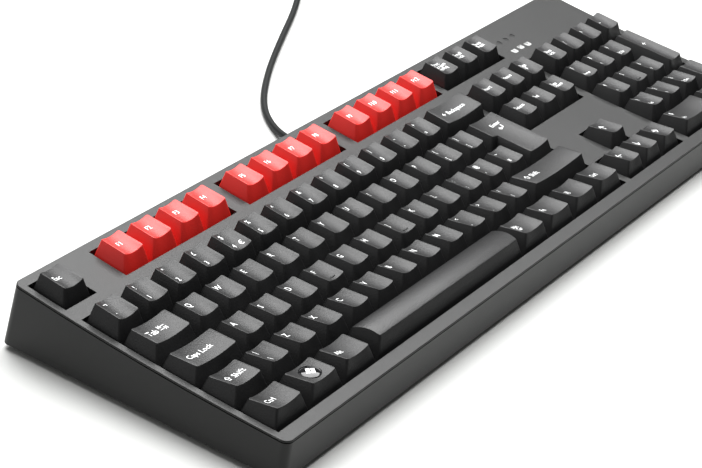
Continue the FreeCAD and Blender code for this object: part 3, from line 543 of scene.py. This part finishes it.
add("key_right_shift", "right_shift", 12.25, "lower", 2.75, "wide", word("⇧ Shift", 2.7, 0.05, 0.47))
# the system key has its badge in place of print
for i, (name, text) in enumerate((("left_ctrl", "Ctrl"), ("left_system", ""), ("left_alt", "Alt"))):
    add("modifier_keys", name, 1.25 * i, "bottom", 1.25, marks=word(text) if text else ())
add("key_space", "space", 3.75, "bottom", 6.25, "space")
for i, (name, text) in enumerate((("right_alt", "Alt\nGr"), ("function_lock", "Fn"), ("menu", "▤"),
                                  ("right_ctrl", "Ctrl"))):
    add("modifier_keys", name, 10 + 1.25 * i, "bottom", 1.25, marks=word(text))
for row, texts in (("function", ("Print\nScreen\nSysRq", "Scroll\nLock", "Pause\nBreak")),
                   ("number", ("Insert", "Home", "Page\nUp")), ("upper", ("Delete", "End", "Page\nDown")),
                   ("bottom", ("←", "↓", "→"))):
    for i, text in enumerate(texts):
        arrow = row == "bottom"
        name = ("left", "down", "right")[i] if arrow else text.replace("\n", "_").lower()
        height = 4.2 if arrow else 2.1
        add("navigation_keys", name, nav_column + i, row, marks=word(text, height, 0.12, 0.46))
add("navigation_keys", "up", nav_column + 1, "lower", marks=word("↑", 4.2, 0.12, 0.46))
pad = {"number": ("Num\nLock", "/", "*", "–"), "upper": ("7", "8", "9"), "home": ("4", "5", "6"),
       "lower": ("1", "2", "3")}
second = {"7": "Home", "8": "↑", "9": "Pg Up", "4": "←", "6": "→", "1": "End", "2": "↓", "3": "Pg Dn"}
for row, texts in pad.items():
    for i, text in enumerate(texts):
        if text.isdigit():
            marks = [(text, 0.12, 0.25, 2.6)]
            if text in second:
                marks.append((second[text], 0.12, 0.78, 1.8))
        else:
            marks = word(text, 2.1 if len(text) > 1 else 3.2, 0.14, 0.48)
        add("numpad_keys", "pad_%s_%d" % (row, i + 1), pad_column + i, row, marks=marks, offset=pad_offset)
add("numpad_keys", "pad_add", pad_column + 3, "upper", 1.0, "tall", word("+", 3.2, 0.45, 0.42),
    offset=pad_offset)
add("numpad_keys", "pad_enter", pad_column + 3, "lower", 1.0, "tall", word("Enter", 2.1, 0.1, 0.42),
    offset=pad_offset)
add("numpad_keys", "pad_0", pad_column, "bottom", 2.0, "wide",
    [("0", 0.06, 0.25, 2.6), ("Ins", 0.06, 0.78, 1.8)], offset=pad_offset)
add("numpad_keys", "pad_point", pad_column + 2, "bottom",
    marks=[(".", 0.12, 0.25, 2.6), ("Del", 0.12, 0.78, 1.8)], offset=pad_offset)
for node_name, pieces in made.items():
    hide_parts(node_name)
for blank in blanks.values():
    bpy.data.objects.remove(blank)

# ---- Switch sliders
# Under every cap a moulded slider, a solid block with a narrower head that carries the cap and goes down into
# the switch housing.  The wide and tall keys have a guide post at each end as well.
slider_nylon = moulded("slider_nylon", (0.03, 0.012, 0.008), 0.35, grain_size=0.4, depth=0.1)
slider_x, slider_y = 7.0, 6.2
slider_top, slider_bottom = -2.2, -9.0
post_size, post_low = (3.4, 4.8), -7.0
for node_name, keys in sliders.items():
    bpy.ops.object.select_all(action="DESELECT")
    stems = []
    for x, y, ceiling, reach, turned in keys:
        bpy.ops.mesh.primitive_cube_add(size=1, location=(x, y, (slider_top + slider_bottom) / 2),
                                        scale=(slider_x, slider_y, slider_top - slider_bottom))
        stems.append(bpy.context.object)
        settle(stems[-1])
        bpy.ops.object.mode_set(mode="EDIT")
        pick("edges", lambda e: abs((e.verts[0].co - e.verts[1].co).normalized().z) > 0.9)
        bpy.ops.mesh.bevel(offset=0.5, segments=2, affect="EDGES")
        pick("faces", lambda f: f.normal.z > 0.9)
        bpy.ops.mesh.inset(thickness=0.9)
        bpy.ops.mesh.extrude_region_move(TRANSFORM_OT_translate={"value": (0, 0, ceiling - slider_top)})
        bpy.ops.object.mode_set(mode="OBJECT")
        for side in ((-1, 1) if reach else ()):
            shift = (0, side * reach) if turned else (side * reach, 0)
            size = post_size[::-1] if turned else post_size
            middle = (x + shift[0], y + shift[1], (ceiling + post_low) / 2)
            bpy.ops.mesh.primitive_cube_add(size=1, location=middle, scale=(*size, ceiling - post_low))
            stems.append(bpy.context.object)
            settle(stems[-1])
            bpy.ops.object.mode_set(mode="EDIT")
            bpy.ops.mesh.select_all(action="SELECT")
            bpy.ops.mesh.bevel(offset=0.3, segments=2, affect="EDGES")
            bpy.ops.object.mode_set(mode="OBJECT")
    for stem in stems:
        stem.select_set(True)
    bpy.context.view_layer.objects.active = stems[0]
    if len(stems) > 1:
        bpy.ops.object.join()
    stem = bpy.context.object
    stem.name = node_name + "_sliders"
    stem.data.transform(Matrix.Scale(mm, 4))
    stem.data.transform(deck)
    bpy.ops.object.shade_smooth_by_angle(angle=math.radians(32))
    dress(stem, slider_nylon)
    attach(stem, node_name + "_body")
    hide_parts(node_name)

# ---- System key badge
# The left system key has a clear resin dome let into the cap, black underneath, with a plain white mark.
badge_black = moulded("badge_resin", (0.004, 0.004, 0.005), 0.07, depth=0.02, mottle=0.02)
(front_y, front_z), (rear_y, rear_z) = top_of("bottom", False)
x, y = 1.875 * pitch, row_y["bottom"] + (front_y + rear_y) / 2    # the middle of the second key
tilt = math.atan((rear_z - front_z) / (rear_y - front_y))
height = (front_z + rear_z) / 2 - dish
bpy.ops.object.select_all(action="DESELECT")
bpy.ops.mesh.primitive_cylinder_add(vertices=32, radius=4.7, depth=0.9, location=(x, y, height),
                                    rotation=(tilt, 0, 0))
badge = bpy.context.object
badge.name = "system_badge"
settle(badge)
bpy.ops.object.mode_set(mode="EDIT")
pick("faces", lambda f: f.normal.z > 0.9 and len(f.verts) > 8)
for thickness, rise in ((0.35, -0.3), (0.8, 0.45), (1.1, 0.25), (1.1, 0.1)):
    bpy.ops.mesh.inset(thickness=thickness)
    bpy.ops.transform.translate(value=(0, 0, rise))
bpy.ops.object.mode_set(mode="OBJECT")
badge.data.transform(Matrix.Scale(mm, 4))
bpy.ops.object.shade_smooth_by_angle(angle=math.radians(38))
dress(badge, badge_black)
bpy.ops.object.select_all(action="DESELECT")
bpy.ops.mesh.primitive_plane_add(size=4.0, location=(x, y, height + 1.5))
mark = bpy.context.object
mark.name = "system_badge_mark"
mark.rotation_euler = (0, 0, math.radians(45))
settle(mark)
bpy.ops.object.mode_set(mode="EDIT")
bpy.ops.mesh.select_all(action="SELECT")
bpy.ops.mesh.subdivide(number_cuts=1)
bpy.ops.mesh.edge_split()
bpy.ops.mesh.select_mode(type="FACE")
bpy.ops.mesh.select_all(action="SELECT")
bpy.ops.mesh.inset(thickness=0.16, use_individual=True)
pick("faces", lambda f: f.calc_area() < 1.2)
bpy.ops.mesh.delete(type="FACE")
bpy.ops.mesh.select_all(action="SELECT")
bpy.ops.mesh.subdivide(number_cuts=3)
bpy.ops.object.mode_set(mode="OBJECT")
mark.data.transform(Matrix.Scale(mm, 4))
lay = mark.modifiers.new("lay", "SHRINKWRAP")
lay.target = badge
lay.wrap_method = "PROJECT"
lay.use_project_x = lay.use_project_y = False
lay.use_project_z = True
lay.use_negative_direction = True
lay.use_positive_direction = False
lay.offset = 0.03 * mm
bpy.ops.object.modifier_apply(modifier="lay")
dress(mark, legend_white)
for piece in (badge, mark):
    piece.data.transform(deck)
    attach(piece, "modifier_keys_body")

# ---- Homing bars
# F, J and the keypad's 5 carry a small raised bar near the front edge, moulded with the cap.
for name, body, column, offset in (("f", "key_f_body", 4.75, 0.0), ("j", "key_j_body", 7.75, 0.0),
                                   ("pad_home_2", "numpad_keys_body", pad_column + 1, pad_offset)):
    (front_y, front_z), (rear_y, rear_z) = top_of("home", False)
    bpy.ops.object.select_all(action="DESELECT")
    bpy.ops.mesh.primitive_cube_add(size=1, scale=(3.4, 0.6, 0.7), location=(
        (column + 0.5) * pitch + offset, row_y["home"] + front_y + 1.9,
        front_z + 1.9 * (rear_z - front_z) / (rear_y - front_y) - dish + 0.05))
    bar = bpy.context.object
    bar.name = name + "_homing_bar"
    settle(bar)
    bpy.ops.object.mode_set(mode="EDIT")
    bpy.ops.mesh.select_all(action="SELECT")
    bpy.ops.mesh.bevel(offset=0.22, segments=3, affect="EDGES")
    bpy.ops.object.mode_set(mode="OBJECT")
    bar.data.transform(Matrix.Scale(mm, 4))
    bar.data.transform(deck)
    bpy.ops.object.shade_smooth_by_angle(angle=math.radians(40))
    dress(bar, key_black)
    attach(bar, body)

# ---- Indicator marks
# Three printed tiles on the deck in front of the windows, each with its lock's sign in the case's black.
deck_low_y, deck_low_z, deck_radius = -55.5, -1.82, 1270    # the deck's hollow curve, front to rear
indicator_print = moulded("indicator_print", (0.38, 0.385, 0.38), 0.5, depth=0.1, mottle=0.05)
for name, sign, x, y in (("num_lock", "1", 358.9, 10.7), ("caps_lock", "A", 365.7, 11.0),
                         ("scroll_lock", "↓", 372.2, 10.5)):
    bpy.ops.object.select_all(action="DESELECT")
    bpy.ops.mesh.primitive_plane_add(size=1, location=(x, y, 0))
    tile = bpy.context.object
    tile.dimensions = (4.0, 5.8, 0)
    settle(tile)
    bpy.ops.object.mode_set(mode="EDIT")
    bpy.ops.mesh.select_mode(type="VERT")
    bpy.ops.mesh.select_all(action="SELECT")
    bpy.ops.mesh.bevel(offset=1.2, segments=4, affect="VERTICES")
    bpy.ops.object.mode_set(mode="OBJECT")
    bpy.ops.object.select_all(action="DESELECT")
    bpy.ops.object.text_add()
    glyph = bpy.context.object
    glyph.data.body = sign
    glyph.data.size = 4.4
    glyph.data.align_x = glyph.data.align_y = "CENTER"
    bpy.ops.object.convert(target="MESH")
    glyph = bpy.context.object
    glyph.location = (x, y, 0)
    settle(glyph)
    deck_z = deck_low_z + (y - deck_low_y) ** 2 / (2 * deck_radius)
    for piece, kind, lift, material in ((tile, "tile", 0.02, indicator_print),
                                        (glyph, "sign", 0.04, case_black)):
        piece.name = name + "_" + kind
        piece.data.transform(Matrix.Translation((0, 0, deck_z + lift)))
        piece.data.transform(Matrix.Scale(mm, 4))
        piece.data.transform(deck)
        dress(piece, material)
        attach(piece, "case")

# ---- Desk and light
# A white sweep under one broad soft light from the rear right, with two weaker ones overhead and to the left.
bpy.ops.object.select_all(action="DESELECT")
bpy.ops.mesh.primitive_plane_add(size=8)
floor = bpy.context.object
floor.name = "floor"
paper = bpy.data.materials.new("white_paper")
paper.use_nodes = True
paper.node_tree.nodes["Principled BSDF"].inputs["Base Color"].default_value = (0.52, 0.525, 0.515, 1)
paper.node_tree.nodes["Principled BSDF"].inputs["Roughness"].default_value = 0.7
dress(floor, paper)


def soft_light(name, place, target, size, power):
    lamp = bpy.data.lights.new(name, "AREA")
    lamp.shape = "RECTANGLE"
    lamp.size, lamp.size_y = size
    lamp.energy = power
    hung = bpy.data.objects.new(name, lamp)
    hung.location = place
    hung.rotation_euler = (Vector(target) - Vector(place)).to_track_quat("-Z", "Y").to_euler()
    bpy.context.scene.collection.objects.link(hung)


soft_light("rear_softbox", (0.80, 0.60, 1.95), (-0.05, 0.0, 0.0), (2.6, 2.1), 168)
soft_light("overhead_softbox", (-0.2, 0.6, 2.0), (0.0, 0.0, 0.0), (1.5, 1.5), 10)
soft_light("left_fill", (-1.9, 0.9, 1.0), (0.0, 0.0, 0.0), (1.5, 1.5), 6)
world = bpy.data.worlds.new("studio")
world.use_nodes = True
world.node_tree.nodes["Background"].inputs["Color"].default_value = (1, 1, 1, 1)
world.node_tree.nodes["Background"].inputs["Strength"].default_value = 0.16
bpy.context.scene.world = world
bpy.context.scene.view_settings.view_transform = "Standard"
